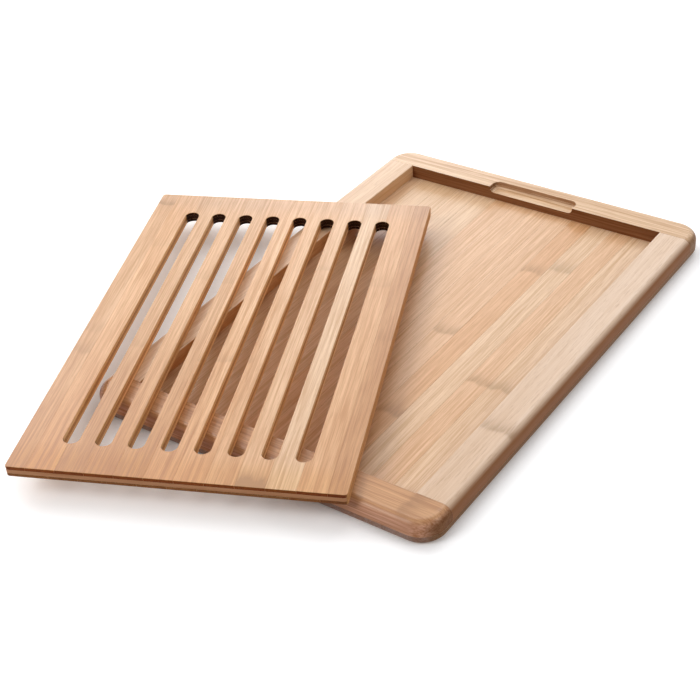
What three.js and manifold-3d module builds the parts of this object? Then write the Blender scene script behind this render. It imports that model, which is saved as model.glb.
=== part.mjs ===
// Slatted bread board: a tray that catches the crumbs, and a slatted grid that lifts out of it.
//
// The tray is a base panel of staves glued edge to edge, with four rails glued round its top. The grid
// is a three-ply panel: staves run along its top and bottom plies, and its core ply runs across them.
// Here the grid lies as it was put down, turned, on the tray's left and front rails.
//
// Millimetres, +Z up. The origin is the centre of the tray's underside. +Y points along the tray to
// the end with the finger scoop, and +X to the right.
import * as THREE from 'three';
import { mergeVertices } from 'three/addons/utils/BufferGeometryUtils.js';
import Module from 'manifold-3d';

// Tray
const RECESS_WIDTH = 225;
const RECESS_LENGTH = 350;
const RECESS_DEPTH = 11;
const SIDE_RAIL_WIDTH = 26;
const END_RAIL_WIDTH = 25;
const BASE_THICKNESS = 7;
const TRAY_CORNER_RADIUS = 18;
const TRAY_TOP_ROUND = 7;
const TRAY_BOTTOM_ROUND = 5;
const BASE_STAVE_WIDTH = 17.4;
const BASE_FIRST_STAVE = 19.7;

// Finger scoop in the inner edge of the back rail
const SCOOP_LENGTH = 75;
const SCOOP_REACH = 11;
const SCOOP_DEPTH = 5;
const SCOOP_CORNER_RADIUS = 6;
const SCOOP_ROUND = 4;

// Grid
const GRID_CLEARANCE = 2.6;
const GRID_THICKNESS = 8;
const GRID_PLY_THICKNESS = 2.5;
const GRID_CORNER_RADIUS = 2.5;
const GRID_EDGE_ROUND = 0.5;
const GRID_STAVE_WIDTH = 19.6;
const GRID_TOP_FIRST_STAVE = 14;
const GRID_BOTTOM_FIRST_STAVE = 9;
const SLOT_COUNT = 8;
const SLOT_PITCH = 22.1;
const SLOT_WIDTH = 11;
const SLOT_END_MARGIN = 27.2;

// Where the grid lies on the tray
const GRID_CENTRE_X = -88;
const GRID_CENTRE_Y = -91;
const GRID_TURN = THREE.MathUtils.degToRad(23.5);
const REST_GAP = 0.2;

// Glue lines, and how finely round edges are cut
const GLUE_LINE = 0.1;
const CORNER_STEPS = 6;
const ROUND_STEPS = 4;
const SLOT_END_STEPS = 10;
const CUT_SPARE = 5;

// Sizes worked out from the ones above
const TRAY_WIDTH = RECESS_WIDTH + 2 * SIDE_RAIL_WIDTH;
const TRAY_LENGTH = RECESS_LENGTH + 2 * END_RAIL_WIDTH;
const TRAY_HEIGHT = BASE_THICKNESS + RECESS_DEPTH;
const GRID_WIDTH = RECESS_WIDTH - GRID_CLEARANCE;
const GRID_LENGTH = RECESS_LENGTH - GRID_CLEARANCE;
const SLOT_LENGTH = GRID_LENGTH - 2 * SLOT_END_MARGIN;
const SLOT_CENTRES = Array.from(
  { length: SLOT_COUNT }, (_, slot) => (slot - (SLOT_COUNT - 1) / 2) * SLOT_PITCH,
);

const wasm = await Module();
wasm.setup();

// Materials: one finish for each kind of strip, and a few tones so that neighbours differ
const bamboo = (name, tones, roughness) => tones.map(
  (tone) => new THREE.MeshStandardMaterial({ name, color: tone, roughness, metalness: 0 }),
);
const staveTones = bamboo('bamboo_stave', [0xd9ad80, 0xcf9f70, 0xdfb78c, 0xd4a678], 0.5);
const railTones = bamboo('bamboo_rail', [0xdfbb94, 0xc79669], 0.5);
const [coreTone] = bamboo('bamboo_core', [0xb98a5c], 0.6);

// A closed mesh as a solid, and a solid as a mesh
function toSolid(geometry) {
  const bare = geometry.clone();
  bare.deleteAttribute('normal');
  bare.deleteAttribute('uv');
  const merged = mergeVertices(bare);
  return new wasm.Manifold(new wasm.Mesh({
    numProp: 3,
    vertProperties: new Float32Array(merged.attributes.position.array),
    triVerts: new Uint32Array(merged.index.array),
  }));
}

function toGeometry(solid) {
  const mesh = solid.getMesh();
  const geometry = new THREE.BufferGeometry();
  geometry.setAttribute('position', new THREE.BufferAttribute(mesh.vertProperties, 3));
  geometry.setIndex(new THREE.BufferAttribute(mesh.triVerts, 1));
  geometry.computeVertexNormals();
  return geometry;
}

// A box between two corners
function boxBetween(low, high) {
  const size = high.map((value, axis) => value - low[axis]);
  const box = new THREE.BoxGeometry(...size);
  box.translate(...low.map((value, axis) => value + size[axis] / 2));
  return toSolid(box);
}

// The points of a rounded rectangle, anticlockwise
function roundedRectangle(width, length, radius) {
  const points = [];
  for (let corner = 0; corner < 4; corner += 1) {
    const sideX = corner === 0 || corner === 3 ? 1 : -1;
    const sideY = corner < 2 ? 1 : -1;
    for (let step = 0; step <= CORNER_STEPS; step += 1) {
      const angle = (corner + step / CORNER_STEPS) * Math.PI / 2;
      points.push([
        sideX * (width / 2 - radius) + radius * Math.cos(angle),
        sideY * (length / 2 - radius) + radius * Math.sin(angle),
      ]);
    }
  }
  return points;
}

// A slab with rounded corners and quarter-round edges: rings of one outline, drawn in as they near
// the top and the bottom, joined by bands and closed by a fan at each end
function roundedSlab({ width, length, bottom, top, cornerRadius, bottomRound, topRound }) {
  const levels = [];
  const addQuarter = (edge, radius, sign, from, to) => {
    for (let step = 0; step <= ROUND_STEPS; step += 1) {
      const angle = (from + (to - from) * step / ROUND_STEPS) * Math.PI / 2;
      const z = edge + sign * radius * (1 - Math.cos(angle));
      levels.push({ z, inset: radius * (1 - Math.sin(angle)) });
    }
  };
  addQuarter(bottom, bottomRound, 1, 0, 1);
  addQuarter(top, topRound, -1, 1, 0);
  const positions = [];
  const ringSize = 4 * (CORNER_STEPS + 1);
  levels.forEach(({ z, inset }) => {
    const ring = roundedRectangle(width - 2 * inset, length - 2 * inset, cornerRadius - inset);
    ring.forEach(([x, y]) => positions.push(x, y, z));
  });
  const indices = [];
  for (let level = 0; level + 1 < levels.length; level += 1) {
    for (let point = 0; point < ringSize; point += 1) {
      const next = (point + 1) % ringSize;
      const low = level * ringSize;
      const high = low + ringSize;
      indices.push(low + point, low + next, high + next, low + point, high + next, high + point);
    }
  }
  const lastRing = (levels.length - 1) * ringSize;
  const bottomCentre = levels.length * ringSize;
  positions.push(0, 0, bottom, 0, 0, top);
  for (let point = 0; point < ringSize; point += 1) {
    const next = (point + 1) % ringSize;
    indices.push(bottomCentre, next, point, bottomCentre + 1, lastRing + point, lastRing + next);
  }
  const geometry = new THREE.BufferGeometry();
  geometry.setAttribute('position', new THREE.Float32BufferAttribute(positions, 3));
  geometry.setIndex(indices);
  return toSolid(geometry);
}

// A slot with round ends along Y, cut through everything above z = 0
function slotCutter(x) {
  const radius = SLOT_WIDTH / 2;
  const reach = SLOT_LENGTH / 2 - radius;
  const outline = new THREE.Shape();
  outline.absarc(x, reach, radius, 0, Math.PI, false);
  outline.absarc(x, -reach, radius, Math.PI, 2 * Math.PI, false);
  const depth = GRID_THICKNESS + 2 * CUT_SPARE;
  const cutter = new THREE.ExtrudeGeometry(outline, {
    depth, steps: 1, bevelEnabled: false, curveSegments: SLOT_END_STEPS,
  });
  cutter.translate(0, 0, -CUT_SPARE);
  return toSolid(cutter);
}

// Where a panel is cut into staves: the first stave's own width, then whole staves of one width, and
// what is left over at the other side
function staveEdges(width, firstStave, staveWidth) {
  const edges = [-width / 2 - CUT_SPARE];
  for (let joint = firstStave - width / 2; joint < width / 2; joint += staveWidth) {
    edges.push(joint);
  }
  edges.push(width / 2 + CUT_SPARE);
  return edges;
}

// Cuts a panel into strips along Y with a glue line between neighbours, and names them in order
function cutIntoStrips(panel, { name, edges, depthRange, reach, tones }) {
  const meshes = [];
  for (let strip = 0; strip + 1 < edges.length; strip += 1) {
    const low = [edges[strip] + GLUE_LINE / 2, -reach, depthRange[0]];
    const high = [edges[strip + 1] - GLUE_LINE / 2, reach, depthRange[1]];
    const number = String(strip + 1).padStart(2, '0');
    const tone = tones[(strip * 3 + edges.length) % tones.length];
    meshes.push(namedMesh(`${name}_${number}`, panel.intersect(boxBetween(low, high)), tone));
  }
  return meshes;
}

function namedMesh(name, solid, material) {
  const mesh = new THREE.Mesh(toGeometry(solid), material);
  mesh.name = name;
  return mesh;
}

// Tray: the base staves and the four rails are all cut from one block with the tray's outer shape
function makeTray() {
  const tray = new THREE.Group();
  const block = roundedSlab({
    width: TRAY_WIDTH, length: TRAY_LENGTH, bottom: 0, top: TRAY_HEIGHT,
    cornerRadius: TRAY_CORNER_RADIUS, bottomRound: TRAY_BOTTOM_ROUND, topRound: TRAY_TOP_ROUND,
  });
  tray.add(...cutIntoStrips(block, {
    name: 'base_stave',
    edges: staveEdges(TRAY_WIDTH, BASE_FIRST_STAVE, BASE_STAVE_WIDTH),
    depthRange: [-CUT_SPARE, BASE_THICKNESS],
    reach: TRAY_LENGTH,
    tones: staveTones,
  }));

  const innerX = RECESS_WIDTH / 2;
  const innerY = RECESS_LENGTH / 2;
  const railBottom = BASE_THICKNESS + GLUE_LINE;
  const railTop = TRAY_HEIGHT + CUT_SPARE;
  const railBlock = (low, high) => block.intersect(
    boxBetween([...low, railBottom], [...high, railTop]),
  );
  const sideReach = innerY - GLUE_LINE;
  const [sideTone, endTone] = railTones;
  const leftRail = railBlock([-TRAY_WIDTH, -sideReach], [-innerX, sideReach]);
  const rightRail = railBlock([innerX, -sideReach], [TRAY_WIDTH, sideReach]);
  const frontRail = railBlock([-TRAY_WIDTH, -TRAY_LENGTH], [TRAY_WIDTH, -innerY]);
  const backRail = railBlock([-TRAY_WIDTH, innerY], [TRAY_WIDTH, TRAY_LENGTH]);
  tray.add(
    namedMesh('rail_left', leftRail, sideTone),
    namedMesh('rail_right', rightRail, sideTone),
    namedMesh('rail_front', frontRail, endTone),
    namedMesh('rail_back', backRail.subtract(scoopCutter()), sideTone),
  );
  return tray;
}

// The finger scoop is a slab with round lower edges, sunk half over the recess
function scoopCutter() {
  return roundedSlab({
    width: SCOOP_LENGTH, length: 2 * SCOOP_REACH,
    bottom: TRAY_HEIGHT - SCOOP_DEPTH, top: TRAY_HEIGHT + CUT_SPARE,
    cornerRadius: SCOOP_CORNER_RADIUS, bottomRound: SCOOP_ROUND, topRound: 0,
  }).translate([0, RECESS_LENGTH / 2, 0]);
}

// Grid: one slotted panel, cut into its three plies. The outer plies are cut into their staves, and
// the core ply into the strip in front of the slots, the one behind them, and the slats in between
function makeGrid() {
  const grid = new THREE.Group();
  const panel = slottedPanel();
  const outerPly = (name, firstStave, depthRange) => cutIntoStrips(panel, {
    name,
    edges: staveEdges(GRID_WIDTH, firstStave, GRID_STAVE_WIDTH),
    depthRange,
    reach: GRID_LENGTH,
    tones: staveTones,
  });
  const topDepth = [GRID_THICKNESS - GRID_PLY_THICKNESS, GRID_THICKNESS + CUT_SPARE];
  const coreDepth = [GRID_PLY_THICKNESS + GLUE_LINE, topDepth[0] - GLUE_LINE];
  const bottomDepth = [-CUT_SPARE, GRID_PLY_THICKNESS];
  const slatReach = SLOT_LENGTH / 2 - SLOT_WIDTH / 2;
  const coreStrip = (fromY, toY) => panel.intersect(boxBetween(
    [-GRID_WIDTH, fromY, coreDepth[0]],
    [GRID_WIDTH, toY, coreDepth[1]],
  ));
  const slatEdges = [
    -GRID_WIDTH / 2 - CUT_SPARE, ...SLOT_CENTRES, GRID_WIDTH / 2 + CUT_SPARE,
  ];
  grid.add(
    ...outerPly('grid_top_stave', GRID_TOP_FIRST_STAVE, topDepth),
    namedMesh('grid_core_front', coreStrip(-GRID_LENGTH, -slatReach - GLUE_LINE), coreTone),
    ...cutIntoStrips(panel, {
      name: 'grid_core_slat',
      edges: slatEdges,
      depthRange: coreDepth,
      reach: slatReach,
      tones: [coreTone],
    }),
    namedMesh('grid_core_back', coreStrip(slatReach + GLUE_LINE, GRID_LENGTH), coreTone),
    ...outerPly('grid_bottom_stave', GRID_BOTTOM_FIRST_STAVE, bottomDepth),
  );
  grid.position.set(GRID_CENTRE_X, GRID_CENTRE_Y, TRAY_HEIGHT + REST_GAP);
  grid.rotation.z = GRID_TURN;
  return grid;
}

function slottedPanel() {
  const panel = roundedSlab({
    width: GRID_WIDTH, length: GRID_LENGTH, bottom: 0, top: GRID_THICKNESS,
    cornerRadius: GRID_CORNER_RADIUS, bottomRound: GRID_EDGE_ROUND, topRound: GRID_EDGE_ROUND,
  });
  return SLOT_CENTRES.reduce((left, x) => left.subtract(slotCutter(x)), panel);
}

const group = new THREE.Group();
group.add(makeTray(), makeGrid());

export default group;
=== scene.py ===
"""A slatted bread board of bamboo, its grid put down turned across its tray, on a white table.

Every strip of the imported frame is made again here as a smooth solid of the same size: the staves
of the tray's base, its four rails, and the staves and strips of the grid's three plies. Each is a
flat pattern worked out with numpy, repeated from the strip's underside to its top while its edges
are drawn in along a rounded profile. The bamboo itself is in the materials, which read each
strip's own place, so its fibres run along the strip and show as dots on its ends.
"""
from math import cos, pi, radians, sin

import bpy
import numpy as np
from mathutils import Euler, Matrix, Vector


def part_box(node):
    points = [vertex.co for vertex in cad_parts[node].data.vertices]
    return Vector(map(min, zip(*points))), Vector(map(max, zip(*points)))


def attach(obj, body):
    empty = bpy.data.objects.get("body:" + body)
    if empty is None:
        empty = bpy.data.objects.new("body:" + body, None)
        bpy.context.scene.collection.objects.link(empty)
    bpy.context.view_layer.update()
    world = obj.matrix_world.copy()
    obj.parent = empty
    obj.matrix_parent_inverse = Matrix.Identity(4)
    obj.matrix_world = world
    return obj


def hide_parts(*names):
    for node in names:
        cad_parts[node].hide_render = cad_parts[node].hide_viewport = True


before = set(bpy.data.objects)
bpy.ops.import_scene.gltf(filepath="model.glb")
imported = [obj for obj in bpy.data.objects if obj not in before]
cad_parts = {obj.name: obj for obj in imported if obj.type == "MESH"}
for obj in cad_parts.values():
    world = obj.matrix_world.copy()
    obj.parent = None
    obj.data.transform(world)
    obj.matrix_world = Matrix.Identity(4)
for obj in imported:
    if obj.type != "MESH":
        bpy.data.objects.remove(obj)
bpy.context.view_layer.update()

MM = 0.001

# Tray, read from the frame
BASE_STAVES = sorted(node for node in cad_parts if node.startswith("base_stave_"))
TRAY_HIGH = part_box("rail_back")[1]
TRAY_HALF_WIDTH = TRAY_HIGH[0]
TRAY_HALF_LENGTH = TRAY_HIGH[1]
RAIL_TOP = TRAY_HIGH[2]
RAIL_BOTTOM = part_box("rail_front")[0][2]
BASE_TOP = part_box("base_stave_08")[1][2]
RECESS_HALF_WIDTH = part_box("rail_right")[0][0]
RECESS_HALF_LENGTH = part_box("rail_back")[0][1]
TRAY_CORNER = 18 * MM
TRAY_TOP_ROUND = 7 * MM
TRAY_BOTTOM_ROUND = 5 * MM
RAIL_INNER_EASE = 0.8 * MM
TRAY_OUTLINE = (TRAY_HALF_WIDTH, TRAY_HALF_LENGTH, TRAY_CORNER)
GLUE_LINE = 0.1 * MM

# Finger scoop in the back rail
SCOOP_HALF_LENGTH = 37.5 * MM
SCOOP_REACH = 11 * MM
SCOOP_DEPTH = 5 * MM
SCOOP_FLOOR = RAIL_TOP - SCOOP_DEPTH
SCOOP_CORNER = 6 * MM
SCOOP_COVE = 4 * MM
SCOOP_LIP = 0.6 * MM

# Grid
GRID_HALF_WIDTH = 111.2 * MM
GRID_HALF_LENGTH = 173.7 * MM
GRID_CORNER = 2.5 * MM
GRID_OUTLINE = (GRID_HALF_WIDTH, GRID_HALF_LENGTH, GRID_CORNER)
GRID_EASE = 0.5 * MM
GRID_STAVE_COUNT = 12
GRID_STAVE_WIDTH = 19.6 * MM
GRID_FIRST_STAVES = {"top": 14 * MM, "bottom": 9 * MM}
SLOT_COUNT = 8
SLOT_PITCH = 22.1 * MM
SLOT_RADIUS = 5.5 * MM
SLOT_EASE = 0.5 * MM
SLOT_HALF_STRAIGHT = 141 * MM
SLOT_CENTRES = [(slot - (SLOT_COUNT - 1) / 2) * SLOT_PITCH for slot in range(SLOT_COUNT)]
GRID_CENTRE = Vector((-88 * MM, -91 * MM, 0))
GRID_TURN = radians(23.5)

# How finely the curves are divided
ROUND_STEPS = 10
ARC_STEPS = 16
CORNER_STAVE_STEPS = 24
STAVE_STEPS = 6
GRID_CORNER_STEPS = 6
SHARP_ANGLE = radians(30)

# Where a flat has its first step beside a round, as a share of the round's radius
FLAT_STEP = 1.1
LIP_STEP = 1.2
# Heights nearer than this to the rail's top are left out where the scoop's lip has its own
NEAR_TOP = 0.01 * MM


# Patterns and lofted solids


def rounded_levels(low, high, low_round, high_round):
    """Heights and insets of a profile with quarter-round edges.

    At angle t a quarter round of radius r stands r(1 - cos t) in from its end and is drawn in by
    r(1 - sin t). A last step past each round, level with it, keeps the flat beyond it flat.
    """
    turn = np.linspace(0, pi / 2, ROUND_STEPS + 1)
    parts = []
    if low_round:
        parts.append([(low, low_round * FLAT_STEP)])
        parts.append(zip(low + low_round * (1 - np.cos(turn)), low_round * (1 - np.sin(turn))))
    else:
        parts.append([(low, 0)])
    if high_round:
        back = turn[::-1]
        parts.append(zip(high - high_round * (1 - np.cos(back)), high_round * (1 - np.sin(back))))
        parts.append([(high, high_round * FLAT_STEP)])
    else:
        parts.append([(high, 0)])
    return [level for part in parts for level in part]


def lofted(name, levels, cells):
    """A closed solid from flat patterns of points, one for each level, all on the same cells.

    levels is a list of (points across, points along, height), the points in arrays of columns by
    rows. cells says which squares of the pattern are solid. The first level closes the underside,
    the last the top, and walls join the rim of the pattern from each level to the next.
    """
    columns, rows = levels[0][1].shape
    count = columns * rows
    column, row = np.nonzero(cells)
    corner = column * rows + row
    squares = np.stack([corner, corner + rows, corner + rows + 1, corner + 1], axis=1)
    edges = np.concatenate([squares[:, [side, (side + 1) % 4]] for side in range(4)])
    forward = edges[:, 0] * count + edges[:, 1]
    backward = edges[:, 1] * count + edges[:, 0]
    # An edge is on the rim where no square beside it has the same edge the other way round
    rim = edges[~np.isin(forward, backward)]
    walls = [
        np.column_stack([rim, rim[:, ::-1] + count]) + step * count
        for step in range(len(levels) - 1)
    ]
    faces = np.concatenate([squares[:, ::-1], squares + (len(levels) - 1) * count, *walls])
    points = np.concatenate([
        np.column_stack([np.broadcast_to(across, along.shape).ravel(), along.ravel(),
                         np.full(count, height)])
        for across, along, height in levels
    ])
    used, faces = np.unique(faces, return_inverse=True)
    return solid(name, points[used], faces.reshape(-1, 4))


def one_row(columns):
    """The cells of a pattern with two rows of points, solid from its first column to its last."""
    return np.ones((len(columns) - 1, 1), bool)


def solid(name, points, faces):
    """A mesh object of that name, smooth but for its sharp edges."""
    mesh = bpy.data.meshes.new(name)
    mesh.from_pydata(points, [], faces.tolist())
    mesh.shade_smooth()
    mesh.set_sharp_from_angle(angle=SHARP_ANGLE)
    return add_object(name, mesh)


def add_object(name, data):
    """A new object in the scene, at the origin."""
    thing = bpy.data.objects.new(name, data)
    bpy.context.scene.collection.objects.link(thing)
    return thing


def half_length_at(across, outline, inset):
    """How far a rounded rectangle reaches along, at a place across it.

    outline is its half width, its half length and the radius of its corners. Within a corner the
    reach is that of the centre of the corner's circle plus sqrt(r^2 - x^2), with x counted from
    the centre; elsewhere it is the straight end.
    """
    half_width, half_length, corner = outline
    past = np.maximum(np.abs(across) - (half_width - corner), 0)
    radius = corner - inset
    return half_length - corner + np.sqrt(np.maximum(radius ** 2 - past ** 2, 0))


def eased_ends(low, high, steps, round_low, round_high):
    """Places from low to high that crowd towards each round end.

    The share of the way, with t from 0 to 1, is (1 - cos(pi t)) / 2 for two round ends,
    1 - cos(pi t / 2) for a round low end, and sin(pi t / 2) for a round high end.
    """
    t = np.linspace(0, 1, steps + 1)
    if round_low and round_high:
        share = (1 - np.cos(pi * t)) / 2
    elif round_low:
        share = 1 - np.cos(pi / 2 * t)
    elif round_high:
        share = np.sin(pi / 2 * t)
    else:
        share = t
    return low + (high - low) * share


# Tray


def base_stave(node):
    """One stave of the base: the slice of the tray's rounded block between its two glue lines."""
    low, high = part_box(node)
    at_left = low[0] < -TRAY_HALF_WIDTH + TRAY_CORNER / 2
    at_right = high[0] > TRAY_HALF_WIDTH - TRAY_CORNER / 2
    steps = CORNER_STAVE_STEPS if at_left or at_right else STAVE_STEPS
    levels = []
    for height, inset in rounded_levels(0, BASE_TOP, TRAY_BOTTOM_ROUND, 0):
        left = -TRAY_HALF_WIDTH + inset if at_left else low[0]
        right = TRAY_HALF_WIDTH - inset if at_right else high[0]
        across = eased_ends(left, right, steps, at_left, at_right)
        reach = half_length_at(across, TRAY_OUTLINE, inset)
        levels.append((across[:, None], np.stack([-reach, reach], axis=1), height))
    return lofted(node.replace("stave", "strip"), levels, one_row(across))


def rail_inset(height, radius):
    """How far a rail's quarter-round upper edge is drawn in at a height.

    At h above the foot of a round of radius r that is r(1 - sqrt(1 - (h / r)^2)).
    """
    rise = max(height - (RAIL_TOP - radius), 0) / radius
    return radius * (1 - np.sqrt(max(1 - rise ** 2, 0)))


def rail_levels():
    """Heights of a rail, with the insets of its round outer edge and its eased inner edge."""
    return [
        (height, inset, rail_inset(height, RAIL_INNER_EASE))
        for height, inset in rounded_levels(RAIL_BOTTOM, RAIL_TOP, 0, TRAY_TOP_ROUND)
    ]


def side_rail(side):
    """The left (-1) or right (1) rail between the end rails: flat inside, round outside."""
    name = "left" if side < 0 else "right"
    low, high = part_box(f"rail_{name}")
    levels = []
    for height, inset, ease in rail_levels():
        edges = sorted([side * (TRAY_HALF_WIDTH - inset), side * (RECESS_HALF_WIDTH + ease)])
        across = np.array(edges)[:, None]
        along = np.array([[low[1], high[1]]] * 2)
        levels.append((across, along, height))
    return lofted(f"{name}_rail", levels, one_row(across))


def corner_columns(inset):
    """Places across a tray corner, from where its arc starts to the drawn-in outer side."""
    turn = np.linspace(0, pi / 2, ARC_STEPS + 1)
    return TRAY_HALF_WIDTH - TRAY_CORNER + (TRAY_CORNER - inset) * np.sin(turn)


def front_rail():
    """The front rail over the whole width: its outer corners round, its inner edge eased between
    the side rails."""
    beside_recess = RECESS_HALF_WIDTH + GLUE_LINE
    middle = [-beside_recess, -RECESS_HALF_WIDTH, RECESS_HALF_WIDTH, beside_recess]
    levels = []
    for height, inset, ease in rail_levels():
        corner = corner_columns(inset)
        across = np.concatenate([-corner[::-1], middle, corner])
        outer = half_length_at(across, TRAY_OUTLINE, inset)
        at_recess = np.abs(across) < RECESS_HALF_WIDTH + GLUE_LINE / 2
        inner = RECESS_HALF_LENGTH + ease * at_recess
        levels.append((across[:, None], np.stack([-outer, -inner], axis=1), height))
    return lofted("front_rail", levels, one_row(across))


def scoop_outline(drawn_in):
    """Half of the scoop's outline, from its middle to its end.

    Returns the places across and how far the scoop reaches into the rail there. The far corner is
    an arc of radius r: at angle t it stands r sin t out and r cos t back from its centre. The end
    runs straight back to the recess.
    """
    radius = SCOOP_CORNER - drawn_in
    turn = np.linspace(0, pi / 2, ARC_STEPS + 1)
    arc_across = SCOOP_HALF_LENGTH - SCOOP_CORNER + radius * np.sin(turn)
    arc_reach = SCOOP_REACH - SCOOP_CORNER + radius * np.cos(turn)
    across = np.concatenate([[0], arc_across, [arc_across[-1]]])
    reach = np.concatenate([[arc_reach[0]], arc_reach, [0]])
    return across, reach


def scoop_levels():
    """The back rail's heights, each with how far the scoop's outline is drawn in there.

    Up to the scoop's floor that is None, because the rail has no scoop there. From the floor up
    the outline is drawn in by c(1 - sin t) at the height c(1 - cos t) above it, c being the cove's
    radius. The lip under the rail's top opens out by l(1 - cos t) at l(1 - sin t) below the top,
    l being the lip's radius. Heights of the outer edge's round take the scoop as the height below
    them has it.
    """
    turn = np.linspace(0, pi / 2, ROUND_STEPS + 1)
    heights = [(SCOOP_FLOOR, None)]
    heights += [
        (SCOOP_FLOOR + SCOOP_COVE * (1 - cos(t)), SCOOP_COVE * (1 - sin(t))) for t in turn
    ]
    heights += [(RAIL_TOP - SCOOP_LIP * (1 - sin(t)), -SCOOP_LIP * (1 - cos(t))) for t in turn]
    heights += [(RAIL_TOP, -SCOOP_LIP * LIP_STEP)]
    heights += [
        (height, None) for height, _, _ in rail_levels() if RAIL_TOP - height > NEAR_TOP
    ]
    levels = []
    drawn_in = None
    for height, scoop in sorted(heights, key=lambda level: level[0]):
        drawn_in = drawn_in if scoop is None else scoop
        levels.append((height, drawn_in))
    return levels


def back_rail():
    """The back rail over the whole width, with the finger scoop let into its inner edge."""
    patterns = []
    for height, drawn_in in scoop_levels():
        inset = rail_inset(height, TRAY_TOP_ROUND)
        corner = corner_columns(inset)
        if drawn_in is None:
            scoop_across, scoop_reach = scoop_outline(SCOOP_COVE)
            scoop_reach = np.zeros_like(scoop_reach)
        else:
            scoop_across, scoop_reach = scoop_outline(drawn_in)
        beside_scoop = [RECESS_HALF_WIDTH, RECESS_HALF_WIDTH + GLUE_LINE]
        half = np.concatenate([scoop_across, beside_scoop, corner])
        half_reach = np.concatenate([scoop_reach, np.zeros(len(beside_scoop) + len(corner))])
        across = np.concatenate([-half[::-1], half[1:]])
        inner = RECESS_HALF_LENGTH + np.concatenate([half_reach[::-1], half_reach[1:]])
        outer = half_length_at(across, TRAY_OUTLINE, inset)
        patterns.append((across[:, None], np.stack([inner, outer], axis=1), height))
    return lofted("back_rail", patterns, one_row(across))


# Grid


def in_slot(place):
    """Whether a place across the grid lies between a slot's sides."""
    return any(abs(place - centre) < SLOT_RADIUS for centre in SLOT_CENTRES)


def unslotted(places):
    """Columns clear of the slots, as slot_columns gathers them."""
    return places, np.full(len(places), SLOT_HALF_STRAIGHT), np.ones(len(places), bool)


def slot_columns(low, high, inset, ease):
    """Columns of a grid strip between two places across, with the slots that cut it.

    Returns the places across, half the length of the slot there, and which spans between columns
    are solid between the slots' ends. A slot's end is a half circle, its radius r that of the slot
    plus the ease: at angle t it is r sin t from the slot's middle, and r cos t past its straight
    part.
    """
    radius = SLOT_RADIUS + ease
    runs = []
    if not in_slot(low):
        edge = np.array([low])
        if low <= -GRID_HALF_WIDTH:
            edge = eased_ends(-GRID_HALF_WIDTH + inset, -GRID_HALF_WIDTH + GRID_CORNER,
                              GRID_CORNER_STEPS, True, False)
        runs.append(unslotted(edge))
    for centre in SLOT_CENTRES:
        left, right = centre - SLOT_RADIUS, centre + SLOT_RADIUS
        if right <= low or left >= high:
            continue
        first = -pi / 2 if left > low else np.arcsin((low - centre) / radius)
        last = pi / 2 if right < high else np.arcsin((high - centre) / radius)
        turn = np.linspace(first, last, ARC_STEPS + 1)
        runs.append((
            centre + radius * np.sin(turn),
            SLOT_HALF_STRAIGHT + radius * np.cos(turn),
            np.append(np.zeros(ARC_STEPS, bool), True),
        ))
    if not in_slot(high):
        edge = np.array([high])
        if high >= GRID_HALF_WIDTH:
            edge = eased_ends(GRID_HALF_WIDTH - GRID_CORNER, GRID_HALF_WIDTH - inset,
                              GRID_CORNER_STEPS, False, True)
        runs.append(unslotted(edge))
    across, half_slot, between = (np.concatenate(part) for part in zip(*runs))
    return across, half_slot, between[:-1]


def on_tray(across, along):
    """A pattern of the grid, turned and moved to where the grid lies on the tray."""
    turned_across = across * cos(GRID_TURN) - along * sin(GRID_TURN) + GRID_CENTRE.x
    turned_along = across * sin(GRID_TURN) + along * cos(GRID_TURN) + GRID_CENTRE.y
    return turned_across, turned_along


def ply_heights(node):
    """The heights of a node's underside and top."""
    low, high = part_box(node)
    return low[2], high[2]


def grid_stave(node, ply, low, high):
    """One stave of an outer ply of the grid, over the grid's whole length, cut by its slots."""
    bottom, top = ply_heights(node)
    rounds = (0, GRID_EASE) if ply == "top" else (GRID_EASE, 0)
    levels = []
    for height, inset in rounded_levels(bottom, top, *rounds):
        across, half_slot, between = slot_columns(low, high, inset, inset * SLOT_EASE / GRID_EASE)
        reach = half_length_at(across, GRID_OUTLINE, inset)
        along = np.stack([-reach, -half_slot, half_slot, reach], axis=1)
        levels.append((*on_tray(across[:, None], along), height))
    whole = np.ones(len(between), bool)
    cells = np.stack([whole, between, whole], axis=1)
    return lofted(node.replace("stave", "strip"), levels, cells)


def core_strip(node, across, along):
    """A strip of the core: one pattern, straight up from the strip's underside to its top."""
    pattern = on_tray(across[:, None], along)
    levels = [(*pattern, height) for height in ply_heights(node)]
    return lofted(f"{node}_strip", levels, one_row(across))


def core_end(node, side):
    """The core in front of the slots (-1) or behind them (1), with their half-round ends in it."""
    across, half_slot, _ = slot_columns(-GRID_HALF_WIDTH, GRID_HALF_WIDTH, 0, 0)
    reach = half_length_at(across, GRID_OUTLINE, 0)
    inner = half_slot + GLUE_LINE
    along = np.stack([-reach, -inner] if side < 0 else [inner, reach], axis=1)
    return core_strip(node, across, along)


def core_slat(node, low, high):
    """The core between two slots: straight sides, and ends where the slots begin to curve."""
    along = np.array([[-SLOT_HALF_STRAIGHT, SLOT_HALF_STRAIGHT]] * 2)
    return core_strip(node, np.array([low, high]), along)


# Bamboo's colours, as linear light
PALE = (0.81, 0.565, 0.375)
CREAM = (0.80, 0.555, 0.35)
HONEY = (0.79, 0.47, 0.255)
TAN = (0.63, 0.335, 0.155)
GOLD = (0.85, 0.53, 0.305)
STRAW = (0.865, 0.615, 0.41)
AMBER = (0.83, 0.535, 0.325)
IVORY = (0.88, 0.68, 0.53)

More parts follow.
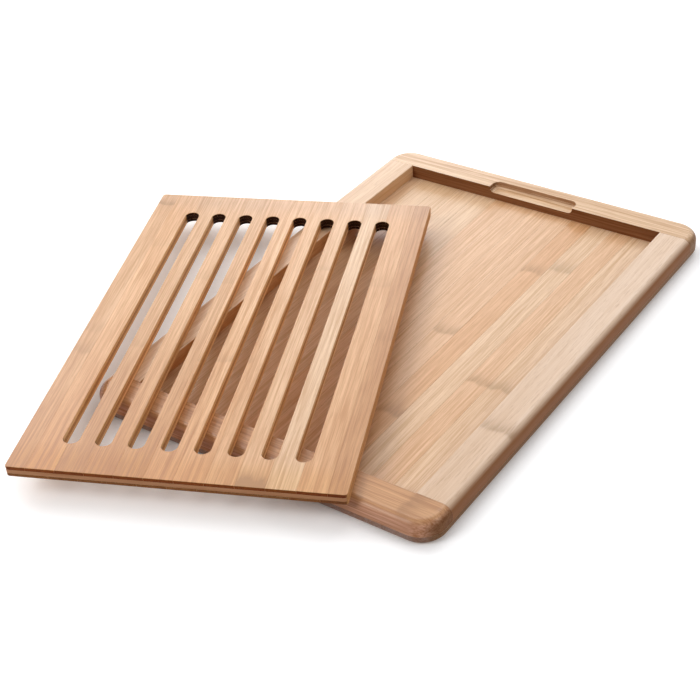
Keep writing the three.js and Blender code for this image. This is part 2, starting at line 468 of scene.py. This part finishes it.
# What a tone is multiplied by where the fibres are deepest, in the fibre bundles' dashes, at a
# knuckle, and towards a strip's front end, the last a painted shade where less light falls
DEEP_SHADE = (0.76, 0.65, 0.52)
BUNDLE_SHADE = (0.60, 0.46, 0.32)
KNUCKLE_SHADE = (0.50, 0.40, 0.28)
FRONT_PAINTED_SHADE = (0.715, 0.515, 0.275)
FRONT_PAINTED_SHADE_SPAN = (-175 * MM, 10 * MM)

# What the grid's top is multiplied by beyond the slots: in front on its left staves, in front on
# the others, and behind
LEFT_FRONT_MARGIN_SHADE = (0.925, 0.855, 0.575)
FRONT_MARGIN_SHADE = (0.96, 0.90, 0.74)
BACK_MARGIN_SHADE = (0.91, 0.92, 0.97)
MARGIN_SPAN = (142 * MM, 165 * MM)

# What a tone is multiplied by on cut sides, along the fibres: partly the cut grain's own colour
# and partly painted light and shade, set face by face. The first, for the base, darkens its glue
# joints and, with painted shade, its outer sides; the next three are painted shade where a side
# faces away from the light; the front rail's side and the slot walls get painted light.
JOINT_AND_PAINTED_SIDE_SHADE = (0.365, 0.315, 0.27)
RIGHT_SIDE_GRAIN_AND_PAINTED_SHADE = (0.42, 0.24, 0.134)
BACK_WALL_GRAIN_AND_PAINTED_SHADE = (0.35, 0.22, 0.145)
SCOOP_SIDE_GRAIN_AND_PAINTED_SHADE = (0.60, 0.50, 0.44)
PALE_SIDE_SHADE = (1.05, 1.0, 0.885)
FRONT_SIDE_GRAIN_AND_PAINTED_LIGHT = (1.15, 1.18, 1.72)
SLOT_SIDE_GRAIN_AND_PAINTED_LIGHT = (1.13, 1.17, 1.06)
CORE_SIDE_SHADE = (0.74, 0.63, 0.62)

# What a tone is multiplied by on cut ends, across the fibres
END_SHADE = (0.455, 0.43, 0.56)
RAIL_END_SHADE = (0.44, 0.37, 0.33)
TOP_END_SHADE = (0.30, 0.12, 0.02)
BOTTOM_END_SHADE = (0.34, 0.225, 0.12)
CORE_END_SHADE = (0.77, 0.65, 0.49)

# Fibre noise in several sizes: lengths across and along, detail, and the span taken to 0..1
BANDS = (6 * MM, 420 * MM, 2, (0.28, 0.72))
STREAKS = (1.9 * MM, 160 * MM, 2, (0.3, 0.7))
THREADS = (0.9 * MM, 38 * MM, 3, (0.32, 0.68))
BUNDLES = (0.6 * MM, 13 * MM, 2, (0.56, 0.7))
KNUCKLE_GRAIN = (1.6 * MM, 12 * MM, 2, (0.25, 0.7))
NOISE_ROUGHNESS = 0.55
FIBRE_WEIGHTS = {"Bands": 0.3, "Streaks": 0.34, "Threads": 0.55, "Bundles": 0.5}
FIBRE_BUMP = 0.15
FIBRE_DEPTH = 0.1 * MM

# How far the pattern shifts, in metres, for each step of a strip's seed
SEED_SHIFT = (0.37, 1.31, 0.73)

# A knuckle's mark: how its line waves, how it fades past its place and before it as shares of its
# width, and how much of it the grain takes away
KNUCKLE_WAVE = (11 * MM, 900 * MM, 1)
KNUCKLE_WAVE_HEIGHT = 9 * MM
FADE_PAST = 1.3
FADE_BEFORE = 0.33
KNUCKLE_GRAIN_SHARE = 0.55

# From a cut side to a sanded face, by how upright the normal is, which also darkens the round
# edges as they turn down, partly with painted shade; and from a side to a cut end, by how much
# the normal lies along the fibres
SANDED_TO_SHADED_SPAN = (0.45, 0.98)
END_SPAN = (0.45, 0.95)

# The slots' round ends, burnt by the cutter and made near black with painted shade: their colour,
# how far from the grid's middle they may be, and the spans in which a face looks along the grid
# enough, and upwards too much
BURN_AND_PAINTED_SHADE = (0.03, 0.009, 0.003)
BURN_AND_SHADE_REACH = 160 * MM
BURN_AND_SHADE_ALONG_SPAN = (0.02, 0.35)
BURN_AND_SHADE_UP_SPAN = (0.15, 0.5)

# The sanded faces' thin oil is a full coat, and the cut faces stay dull
OIL_ROUGHNESS = 0.33
CUT_GLOSS = 0.12
CUT_ROUGHNESS = 0.5

# Turns of a strip whose fibres run along the tray, and across it
NO_TURN = (0, 0, 0)
ACROSS = (0, 0, -pi / 2)


# Nodes

# A colour mix node's sockets, by number
MIX_SHARE, MIX_FIRST, MIX_SECOND = 0, 6, 7
MIX_RESULT = 2


def node_group(name, inputs, outputs):
    """An empty shader node group with these inputs and outputs, and its two end nodes."""
    group = bpy.data.node_groups.new(name, "ShaderNodeTree")
    for direction, sockets in (("INPUT", inputs), ("OUTPUT", outputs)):
        for socket_name, kind in sockets:
            group.interface.new_socket(socket_name, in_out=direction, socket_type=kind)
    return group, group.nodes.new("NodeGroupInput"), group.nodes.new("NodeGroupOutput")


def add_node(tree, kind, **settings):
    """A node of that kind, with attributes set by name and inputs set or linked by name."""
    node = tree.nodes.new(kind)
    inputs = settings.pop("inputs", {})
    for setting, value in settings.items():
        setattr(node, setting, value)
    for socket, value in inputs.items():
        if isinstance(value, bpy.types.NodeSocket):
            tree.links.new(value, node.inputs[socket])
        else:
            node.inputs[socket].default_value = value
    return node


def maths(tree, operation, first, second=0.0):
    """A maths node's result."""
    return add_node(
        tree, "ShaderNodeMath", operation=operation, inputs={0: first, 1: second},
    ).outputs[0]


def total(tree, first, second):
    """The sum of two values."""
    return maths(tree, "ADD", first, second)


def product(tree, first, second):
    """One value times the other."""
    return maths(tree, "MULTIPLY", first, second)


def difference(tree, first, second):
    """The first value less the second."""
    return maths(tree, "SUBTRACT", first, second)


def ramp(tree, value, span, to=(0.0, 1.0), smooth=True):
    """A value taken from one span to another, and kept within it."""
    return add_node(
        tree, "ShaderNodeMapRange", clamp=True,
        interpolation_type="SMOOTHSTEP" if smooth else "LINEAR",
        inputs={"Value": value, "From Min": span[0], "From Max": span[1],
                "To Min": to[0], "To Max": to[1]},
    ).outputs["Result"]


def split(tree, vector):
    """A vector's parts, as outputs named X, Y and Z."""
    return add_node(tree, "ShaderNodeSeparateXYZ", inputs={0: vector}).outputs


def vector_maths(tree, operation, first, second):
    """A vector maths node, whose first output is a vector and whose Value is a number."""
    return add_node(
        tree, "ShaderNodeVectorMath", operation=operation, inputs={0: first, 1: second},
    ).outputs


def blend(tree, share, first, second, kind="MIX"):
    """Two colours mixed, or with MULTIPLY the first darkened by the second, by a share."""
    first, second = (
        colour if isinstance(colour, bpy.types.NodeSocket) else (*colour, 1)
        for colour in (first, second)
    )
    return add_node(
        tree, "ShaderNodeMix", data_type="RGBA", blend_type=kind,
        inputs={MIX_SHARE: share, MIX_FIRST: first, MIX_SECOND: second},
    ).outputs[MIX_RESULT]


def stretched_noise(tree, position, across, along, detail):
    """Noise that is drawn out along the fibres: across and along are its lengths in metres."""
    scaled = vector_maths(tree, "MULTIPLY", position, (1 / across, 1 / along, 1 / across))
    return add_node(tree, "ShaderNodeTexNoise", inputs={
        "Vector": scaled[0], "Scale": 1.0, "Detail": detail, "Roughness": NOISE_ROUGHNESS,
    }).outputs["Fac"]


def fibre_noise(tree, position, across, along, detail, span):
    """One size of the fibres' noise, with a span of it taken to 0..1."""
    return ramp(tree, stretched_noise(tree, position, across, along, detail), span)


# Shader groups


def make_fibres():
    """Bamboo's fibres along Y, in four sizes of noise drawn out along Y.

    Shade is broad bands, streaks and fine threads, each brought to 0..1 and weighed by its input.
    Bundles are short dark dashes, where finer noise passes a threshold. Height is for the bump.
    """
    group, given, out = node_group(
        "bamboo fibres",
        [("Position", "NodeSocketVector"), ("Bands", "NodeSocketFloat"),
         ("Streaks", "NodeSocketFloat"), ("Threads", "NodeSocketFloat"),
         ("Bundles", "NodeSocketFloat")],
        [("Shade", "NodeSocketFloat"), ("Bundles", "NodeSocketFloat"),
         ("Height", "NodeSocketFloat")],
    )
    place = given.outputs["Position"]
    bands = fibre_noise(group, place, *BANDS)
    streaks = fibre_noise(group, place, *STREAKS)
    threads = fibre_noise(group, place, *THREADS)
    bundles = fibre_noise(group, place, *BUNDLES)
    finer = total(group, product(group, streaks, given.outputs["Streaks"]),
                  product(group, threads, given.outputs["Threads"]))
    shade = total(group, product(group, bands, given.outputs["Bands"]), finer)
    group.links.new(shade, out.inputs["Shade"])
    group.links.new(product(group, bundles, given.outputs["Bundles"]), out.inputs["Bundles"])
    group.links.new(difference(group, threads, bundles), out.inputs["Height"])
    return group


def make_knuckle():
    """The mark of a bamboo knuckle across a strip: a band at one place along it, wavy where the
    fibres part.

    It falls off as exp(-(y / w)^2), with w a third of the width before the place and one and a
    third of it past the place, so one edge is sharp and the other fades out.
    """
    group, given, out = node_group(
        "bamboo knuckle",
        [("Position", "NodeSocketVector"), ("Seed", "NodeSocketVector"),
         ("Place", "NodeSocketFloat"), ("Width", "NodeSocketFloat"),
         ("Strength", "NodeSocketFloat")],
        [("Mark", "NodeSocketFloat")],
    )
    shifted = vector_maths(group, "ADD", given.outputs["Position"], given.outputs["Seed"])[0]
    wave = product(group,
                   difference(group, stretched_noise(group, shifted, *KNUCKLE_WAVE), 0.5),
                   KNUCKLE_WAVE_HEIGHT)
    along = split(group, given.outputs["Position"])["Y"]
    offset = total(group, difference(group, along, given.outputs["Place"]), wave)
    share = maths(group, "DIVIDE", offset, given.outputs["Width"])
    past = maths(group, "DIVIDE", maths(group, "MAXIMUM", share, 0.0), FADE_PAST)
    before = maths(group, "DIVIDE", maths(group, "MINIMUM", share, 0.0), FADE_BEFORE)
    either = total(group, past, before)
    band = maths(group, "EXPONENT", product(group, product(group, either, either), -1.0))
    grain = product(group, fibre_noise(group, shifted, *KNUCKLE_GRAIN), KNUCKLE_GRAIN_SHARE)
    mark = product(group, band, total(group, grain, 1 - KNUCKLE_GRAIN_SHARE))
    group.links.new(product(group, mark, given.outputs["Strength"]), out.inputs["Mark"])
    return group


def make_cut_faces():
    """How far a face has turned from the sanded top to a cut side, and how much it looks along the
    fibres, both from the strip's own normal."""
    group, given, out = node_group(
        "bamboo cut faces",
        [("Normal", "NodeSocketVector")],
        [("Side", "NodeSocketFloat"), ("End", "NodeSocketFloat")],
    )
    facing = split(group, given.outputs["Normal"])
    upright = maths(group, "ABSOLUTE", facing["Z"])
    along = maths(group, "ABSOLUTE", facing["Y"])
    # The side share also places the painted light and shade that the side values carry
    group.links.new(difference(group, 1.0, ramp(group, upright, SANDED_TO_SHADED_SPAN)), out.inputs["Side"])
    group.links.new(ramp(group, along, END_SPAN), out.inputs["End"])
    return group


def make_burn_and_shade():
    """Where a slot's round end was cut: faces that look along the grid, short of its own ends.

    Along is the way that the slots run, seen from the strip.
    """
    group, given, out = node_group(
        "slot scorch",
        [("Position", "NodeSocketVector"), ("Normal", "NodeSocketVector"),
         ("Along", "NodeSocketVector")],
        [("Burn and shade", "NodeSocketFloat")],
    )
    way = given.outputs["Along"]
    reach = vector_maths(group, "DOT_PRODUCT", given.outputs["Position"], way)["Value"]
    facing = vector_maths(group, "DOT_PRODUCT", given.outputs["Normal"], way)["Value"]
    inside = maths(group, "LESS_THAN", maths(group, "ABSOLUTE", reach), BURN_AND_SHADE_REACH)
    turned = ramp(group, maths(group, "ABSOLUTE", facing), BURN_AND_SHADE_ALONG_SPAN)
    up = split(group, given.outputs["Normal"])["Z"]
    not_up = difference(group, 1.0, ramp(group, up, BURN_AND_SHADE_UP_SPAN))
    # The cutter's burn on the slot ends, made near black with painted shade where they face away
    # from the light
    burnt_and_shaded = product(group, inside, product(group, turned, not_up))
    group.links.new(burnt_and_shaded, out.inputs["Burn and shade"])
    return group


fibres = make_fibres()
knuckle = make_knuckle()
cut_faces = make_cut_faces()
burn_and_shade = make_burn_and_shade()


# Bamboo


def shaded(tone, shade):
    """A tone with each channel multiplied by the shade's."""
    return tuple(channel * darker for channel, darker in zip(tone, shade))


def strip_place(tree, turn, centre):
    """The place and the normal as the strip sees them, with its fibres along Y."""
    where = add_node(tree, "ShaderNodeTexCoord")
    inverse = Euler(turn).to_matrix().transposed()
    place = add_node(tree, "ShaderNodeMapping", inputs={
        "Vector": where.outputs["Object"], "Location": -(inverse @ Vector(centre)),
        "Rotation": inverse.to_euler(),
    }).outputs[0]
    facing = add_node(tree, "ShaderNodeMapping", vector_type="NORMAL", inputs={
        "Vector": where.outputs["Normal"], "Rotation": inverse.to_euler(),
    }).outputs[0]
    return place, facing


def bamboo(name, tone, seed, turn=NO_TURN, centre=(0, 0, 0), knuckles=(), side=JOINT_AND_PAINTED_SIDE_SHADE,
           end=END_SHADE, slots_along=None, painted_front_shade=0.0, contrast=1.0, margins=()):
    """Bamboo of one tone.

    turn and centre take a place in the scene to one on the strip, with the fibres along Y, and
    seed shifts the pattern. knuckles are (place along, width, strength). side and end are what the
    tone is multiplied by on the cut faces; the sides' values carry painted light and shade as well
    as the cut grain's colour. slots_along is the way that slots run. The painted front shade is
    how far the tone is darkened, with painted shade, towards the strip's front end. A greater
    contrast makes the fibres' dark parts darker and the light ones lighter, about the same middle.
    margins are what the tone is multiplied by beyond the slots, in front of them and behind them.
    """
    material = bpy.data.materials.new(name)
    material.use_nodes = True
    tree = material.node_tree
    place, facing = strip_place(tree, turn, centre)
    shift = tuple(seed * step for step in SEED_SHIFT)
    grain = add_node(tree, "ShaderNodeGroup", node_tree=fibres, inputs={
        "Position": vector_maths(tree, "ADD", place, shift)[0], **FIBRE_WEIGHTS,
    }).outputs
    cut = add_node(tree, "ShaderNodeGroup", node_tree=cut_faces, inputs={"Normal": facing}).outputs
    deep = tuple(channel ** contrast for channel in DEEP_SHADE)
    lift = tuple((1 + usual) / (1 + dark) for usual, dark in zip(DEEP_SHADE, deep))
    tone = shaded(tone, lift)

    def grained(plain):
        """A colour with the fibres' shade in it."""
        return blend(tree, grain["Shade"], plain, shaded(plain, deep))

    colour = blend(tree, grain["Bundles"], grained(tone), shaded(tone, BUNDLE_SHADE))
    for along, width, strength in knuckles:
        mark = add_node(tree, "ShaderNodeGroup", node_tree=knuckle, inputs={
            "Position": place, "Seed": shift, "Place": along, "Width": width,
            "Strength": strength,
        }).outputs["Mark"]
        colour = blend(tree, mark, colour, shaded(tone, KNUCKLE_SHADE))
    # Painted shade: the tone darkens and warms towards the strip's front end, where less light
    # falls
    if painted_front_shade:
        forward = difference(
            tree, 1.0, ramp(tree, split(tree, place)["Y"], FRONT_PAINTED_SHADE_SPAN, smooth=False))
        colour = blend(tree, product(tree, forward, painted_front_shade), colour, FRONT_PAINTED_SHADE, "MULTIPLY")
    for way, margin in zip((-1, 1), margins):
        beyond = ramp(tree, product(tree, split(tree, place)["Y"], way), MARGIN_SPAN)
        colour = blend(tree, beyond, colour, margin, "MULTIPLY")
    # Cut sides: the cut grain's colour, with painted light and shade from each piece's side value
    colour = blend(tree, cut["Side"], colour, grained(shaded(tone, side)))
    colour = blend(tree, cut["End"], colour, grained(shaded(tone, end)))
    # The slots' round ends: the cutter's burn, made near black with painted shade
    if slots_along:
        burnt_and_shaded = add_node(tree, "ShaderNodeGroup", node_tree=burn_and_shade, inputs={
            "Position": place, "Normal": facing, "Along": slots_along,
        }).outputs["Burn and shade"]
        colour = blend(tree, burnt_and_shaded, colour, BURN_AND_PAINTED_SHADE)

    surface = tree.nodes["Principled BSDF"].inputs
    tree.links.new(colour, surface["Base Color"])
    surface["Roughness"].default_value = CUT_ROUGHNESS
    surface["Specular IOR Level"].default_value = CUT_GLOSS
    sanded = product(tree, difference(tree, 1.0, cut["Side"]), difference(tree, 1.0, cut["End"]))
    tree.links.new(sanded, surface["Coat Weight"])
    surface["Coat Roughness"].default_value = OIL_ROUGHNESS
    bump = add_node(tree, "ShaderNodeBump", inputs={
        "Strength": FIBRE_BUMP, "Distance": FIBRE_DEPTH, "Height": grain["Height"],
    })
    tree.links.new(bump.outputs[0], surface["Normal"])
    return material


def dress(piece, material, body, slot, *nodes):
    """Gives a piece its bamboo, and says what it rides on and which solids it stands for."""
    piece.data.materials.append(material)
    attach(piece, body)
    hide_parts(*nodes)


# Putting the tray together

BASE_TONES = [TAN, PALE, CREAM, CREAM, STRAW, STRAW, AMBER, AMBER,
              AMBER, AMBER, HONEY, STRAW, AMBER, STRAW, STRAW, AMBER]
BASE_KNUCKLES = {
    10: [(-7 * MM, 7 * MM, 0.8)],
    11: [(94 * MM, 7 * MM, 0.75), (-104 * MM, 8 * MM, 0.85)],
    12: [(106 * MM, 8 * MM, 0.75)],
    13: [(-47 * MM, 6 * MM, 0.8)],
    14: [(-47 * MM, 6 * MM, 0.8)],
}
BASE_CONTRAST = 1.35
# The base's staves from the left up to this one are darkened towards the front with painted
# shade, where the grid lies over them
LAST_STAVE_UNDER_GRID_SHADE = 10
BASE_PAINTED_FRONT_SHADE = 0.3
LEFT_RAIL_SEED = 21
RIGHT_RAIL_SEED = 22
FRONT_RAIL_SEED = 23
BACK_RAIL_SEED = 24

for number, (stave, tone) in enumerate(zip(BASE_STAVES, BASE_TONES), start=1):
    dress(
        base_stave(stave),
        bamboo(f"base bamboo {number}", tone, number, contrast=BASE_CONTRAST,
               knuckles=BASE_KNUCKLES.get(number, ()),
               painted_front_shade=BASE_PAINTED_FRONT_SHADE if number <= LAST_STAVE_UNDER_GRID_SHADE else 0.0),
        "tray", "bamboo_base", stave,
    )

dress(
    side_rail(-1),
    bamboo("left rail bamboo", PALE, LEFT_RAIL_SEED, side=PALE_SIDE_SHADE),
    "tray", "bamboo_rail", "rail_left",
)
# The right rail's top is darkened towards the front with painted shade
dress(
    side_rail(1),
    bamboo("right rail bamboo", IVORY, RIGHT_RAIL_SEED, side=RIGHT_SIDE_GRAIN_AND_PAINTED_SHADE, painted_front_shade=0.2,
           contrast=0.55, knuckles=[(-98 * MM, 7 * MM, 0.75)]),
    "tray", "bamboo_rail", "rail_right",
)
dress(
    front_rail(),
    bamboo("front rail bamboo", TAN, FRONT_RAIL_SEED, turn=ACROSS, side=FRONT_SIDE_GRAIN_AND_PAINTED_LIGHT,
           end=RAIL_END_SHADE, contrast=2.1, knuckles=[(113 * MM, 7 * MM, 0.9)]),
    "tray", "bamboo_rail", "rail_front",
)


def back_bamboo(name, side):
    """The back rail's bamboo, with its own shade on the cut sides."""
    # The side value is painted shade: darker on the recess's wall, lighter in the scoop
    return bamboo(name, CREAM, BACK_RAIL_SEED, turn=ACROSS, side=side, end=RAIL_END_SHADE,
                  contrast=2.0)


def give_scoop_bamboo(rail):
    """Gives the faces inside the finger scoop paler cut sides than the recess's wall has."""
    # The recess's wall faces away from the light and carries the darker painted shade; the scoop's
    # sides carry a lighter one
    rail.data.materials.append(back_bamboo("scoop bamboo", SCOOP_SIDE_GRAIN_AND_PAINTED_SHADE))
    faces = rail.data.polygons
    middles = np.zeros(3 * len(faces))
    faces.foreach_get("center", middles)
    across, along, height = middles.reshape(-1, 3).T
    inside = (
        (np.abs(across) < SCOOP_HALF_LENGTH + SCOOP_LIP)
        & (along > RECESS_HALF_LENGTH + SCOOP_LIP)
        & (along < RECESS_HALF_LENGTH + SCOOP_REACH + SCOOP_LIP)
        & (height > SCOOP_FLOOR)
    )
    faces.foreach_set("material_index", inside.astype(np.int32))


back = back_rail()
dress(back, back_bamboo("back rail bamboo", BACK_WALL_GRAIN_AND_PAINTED_SHADE), "tray", "bamboo_rail", "rail_back")
give_scoop_bamboo(back)

# Putting the grid together

# Its staves from left to right: tone, how light it is, how far it is darkened to the front with
# painted shade, and its knuckles as (place along, width, strength). The bottom ply takes the
# tones and their light only.
GRID_STAVES = [
    (GOLD, 0.96, 1.0,
     [(-46 * MM, 9 * MM, 0.5), (-20 * MM, 9 * MM, 0.3), (158 * MM, 4 * MM, 0.9)]),
    (GOLD, 1.05, 1.0, [(96 * MM, 8 * MM, 0.25)]),
    (GOLD, 0.94, 1.0, [(-36 * MM, 8 * MM, 0.3)]),
    (GOLD, 0.98, 1.0, [(54 * MM, 8 * MM, 0.35)]),
    (GOLD, 0.95, 1.0, [(49 * MM, 6 * MM, 0.35)]),
    (GOLD, 1.03, 0.75, [(-48 * MM, 5 * MM, 0.55)]),
    (GOLD, 1.05, 0.66, [(-47 * MM, 5 * MM, 0.5)]),
    (GOLD, 1.0, 0.45, []),
    (AMBER, 1.03, 0.27, [(-172 * MM, 7 * MM, 1.8), (73 * MM, 5 * MM, 0.35)]),
    (PALE, 1.07, 0.13, []),
    (HONEY, 1.02, 0.13, [(56 * MM, 9 * MM, 0.3)]),
    (TAN, 1.02, 0.13, [(-9 * MM, 9 * MM, 0.3)]),
]
PLY_SEEDS = {"top": 40, "bottom": 60}
CORE_SEED = 80
GRID_CONTRAST = 1.7
# The staves up to this one have the more amber front margin
LAST_LEFT_STAVE = 5
GRID_ORIGIN = (GRID_CENTRE.x, GRID_CENTRE.y, 0)
ALONG_GRID = (0, 0, GRID_TURN)
ACROSS_GRID = (0, 0, GRID_TURN - pi / 2)


def stave_ranges(first):
    """The left and right edge of each stave of a ply, half a glue line short at each joint."""
    joints = [
        first - GRID_HALF_WIDTH + count * GRID_STAVE_WIDTH for count in range(GRID_STAVE_COUNT - 1)
    ]
    lefts = [-GRID_HALF_WIDTH] + [joint + GLUE_LINE / 2 for joint in joints]
    rights = [joint - GLUE_LINE / 2 for joint in joints] + [GRID_HALF_WIDTH]
    return zip(lefts, rights)


for ply, first in GRID_FIRST_STAVES.items():
    for number, (low, high) in enumerate(stave_ranges(first), start=1):
        stave = f"grid_{ply}_stave_{number:02d}"
        tone, light, painted_front_shade, knuckles = GRID_STAVES[number - 1]
        looks = {"end": BOTTOM_END_SHADE}
        if ply == "top":
            in_front = LEFT_FRONT_MARGIN_SHADE if number <= LAST_LEFT_STAVE else FRONT_MARGIN_SHADE
            looks = {"end": TOP_END_SHADE, "painted_front_shade": painted_front_shade, "knuckles": knuckles,
                     "margins": (in_front, BACK_MARGIN_SHADE)}
        dress(
            grid_stave(stave, ply, low, high),
            bamboo(f"grid {ply} bamboo {number}", tuple(channel * light for channel in tone),
                   PLY_SEEDS[ply] + number, turn=ALONG_GRID, centre=GRID_ORIGIN,
                   side=SLOT_SIDE_GRAIN_AND_PAINTED_LIGHT, slots_along=(0, 1, 0), contrast=GRID_CONTRAST, **looks),
            "grid", "bamboo_grid", stave,
        )

core_bamboo = bamboo("grid core bamboo", HONEY, CORE_SEED, turn=ACROSS_GRID, centre=GRID_ORIGIN,
                     side=CORE_SIDE_SHADE, end=CORE_END_SHADE, slots_along=(1, 0, 0))
for name, side in (("grid_core_front", -1), ("grid_core_back", 1)):
    dress(core_end(name, side), core_bamboo, "grid", "bamboo_core", name)
slat_lefts = [-GRID_HALF_WIDTH] + [centre + SLOT_RADIUS for centre in SLOT_CENTRES]
slat_rights = [centre - SLOT_RADIUS for centre in SLOT_CENTRES] + [GRID_HALF_WIDTH]
for number, (low, high) in enumerate(zip(slat_lefts, slat_rights), start=1):
    name = f"grid_core_slat_{number:02d}"
    dress(core_slat(name, low, high), core_bamboo, "grid", "bamboo_core", name)

# Table, world, lamps and camera

# The table top's half side in metres, and its surface
TABLE_HALF = 4.0
TABLE_COLOUR = (0.86, 0.86, 0.87, 1)
TABLE_ROUGHNESS = 0.9
TABLE_GLOSS = 0.1
# How near a thing darkens the table's glow, which paints a shadow there, and how the glow grows
# with the distance from the board, in metres
SHADOW_REACH = 33 * MM
SHADOW_SAMPLES = 8
GLOW_SPAN = (0.8, 1.8)
GLOW = (0.5, 1.0)

WORLD_COLOUR = (1, 1, 1, 1)
WORLD_LIGHT = 0.01

# Azimuth and elevation in degrees, distance and size in metres, and power in watts. An azimuth of
# 0 is behind the board, and 90 is to its left.
LAMPS = {
    "back soft box": (0, 45, 1.4, 0.6, 3.5),
    "low back light": (36, 22, 1.6, 0.6, 2.8),
    "overhead soft box": (40, 75, 1.4, 0.9, 5.0),
    "left soft box": (80, 40, 1.8, 1.2, 13),
    "right soft box": (275, 35, 2.0, 1.0, 10),
    "front fill": (155, 38, 2.0, 0.8, 14.5),
}

# Camera, fitted to the photograph
CAMERA_PLACE = Vector((0.4840, -0.7267, 0.6055))
CAMERA_AZIMUTH = radians(36.89)
CAMERA_ELEVATION = radians(35.66)
CAMERA_ROLL = radians(-4.16)
CAMERA_LENS = 74.13
SENSOR_WIDTH = 36
NEAREST_SEEN = 0.05


def seen(tree):
    """1 where a ray comes from the camera, a reflection or through glass, and 0 for light."""
    path = add_node(tree, "ShaderNodeLightPath").outputs
    direct = maths(tree, "MAXIMUM", path["Is Camera Ray"], path["Is Glossy Ray"])
    return maths(tree, "MAXIMUM", direct, path["Is Transmission Ray"])


def make_table():
    """A white table top under the tray, which shows white to the camera and keeps the shadow."""
    mesh = bpy.data.meshes.new("table_top")
    corners = [(-TABLE_HALF, -TABLE_HALF, 0), (TABLE_HALF, -TABLE_HALF, 0),
               (TABLE_HALF, TABLE_HALF, 0), (-TABLE_HALF, TABLE_HALF, 0)]
    mesh.from_pydata(corners, [], [(0, 1, 2, 3)])
    table = add_object("table_top", mesh)
    material = bpy.data.materials.new("white table")
    material.use_nodes = True
    tree = material.node_tree
    surface = tree.nodes["Principled BSDF"].inputs
    surface["Base Color"].default_value = TABLE_COLOUR
    surface["Roughness"].default_value = TABLE_ROUGHNESS
    surface["Specular IOR Level"].default_value = TABLE_GLOSS
    # Painted shadow: the glow is darkened near the tray and under the grid
    open_sky = add_node(tree, "ShaderNodeAmbientOcclusion", samples=SHADOW_SAMPLES, inputs={
        "Distance": SHADOW_REACH,
    }).outputs["AO"]
    glow = add_node(tree, "ShaderNodeCombineXYZ", inputs={0: open_sky, 1: open_sky, 2: open_sky})
    tree.links.new(glow.outputs[0], surface["Emission Color"])
    distance = add_node(tree, "ShaderNodeVectorMath", operation="LENGTH", inputs={
        0: add_node(tree, "ShaderNodeTexCoord").outputs["Object"],
    }).outputs["Value"]
    strength = product(tree, seen(tree), ramp(tree, distance, GLOW_SPAN, to=GLOW))
    tree.links.new(strength, surface["Emission Strength"])
    mesh.materials.append(material)


def make_lamp(name, azimuth, elevation, distance, size, power):
    """A square soft lamp that shines at the object."""
    place = distance * Vector((
        -sin(radians(azimuth)) * cos(radians(elevation)),
        cos(radians(azimuth)) * cos(radians(elevation)),
        sin(radians(elevation)),
    ))
    lamp = bpy.data.lights.new(name, "AREA")
    lamp.shape = "SQUARE"
    lamp.size = size
    lamp.energy = power
    holder = add_object(name, lamp)
    holder.location = place
    holder.rotation_euler = (-place).to_track_quat("-Z", "Y").to_euler()


def make_world():
    """A world that is white to look at and throws next to no light."""
    world = bpy.data.worlds.new("studio")
    world.use_nodes = True
    bpy.context.scene.world = world
    tree = world.node_tree
    background = tree.nodes["Background"].inputs
    background["Color"].default_value = WORLD_COLOUR
    strength = ramp(tree, seen(tree), (0.0, 1.0), to=(WORLD_LIGHT, 1.0), smooth=False)
    tree.links.new(strength, background["Strength"])


def make_camera():
    """The camera, raised from looking straight down, turned about the upright and rolled."""
    camera = bpy.data.cameras.new("camera")
    camera.lens = CAMERA_LENS
    camera.sensor_width = SENSOR_WIDTH
    camera.clip_start = NEAREST_SEEN
    holder = add_object("camera", camera)
    turn = (
        Matrix.Rotation(CAMERA_AZIMUTH, 4, "Z")
        @ Matrix.Rotation(pi / 2 - CAMERA_ELEVATION, 4, "X")
        @ Matrix.Rotation(CAMERA_ROLL, 4, "Z")
    )
    holder.matrix_world = Matrix.Translation(CAMERA_PLACE) @ turn
    bpy.context.scene.camera = holder


make_table()
for name, settings in LAMPS.items():
    make_lamp(name, *settings)
make_world()
make_camera()
bpy.context.scene.view_settings.view_transform = "Standard"
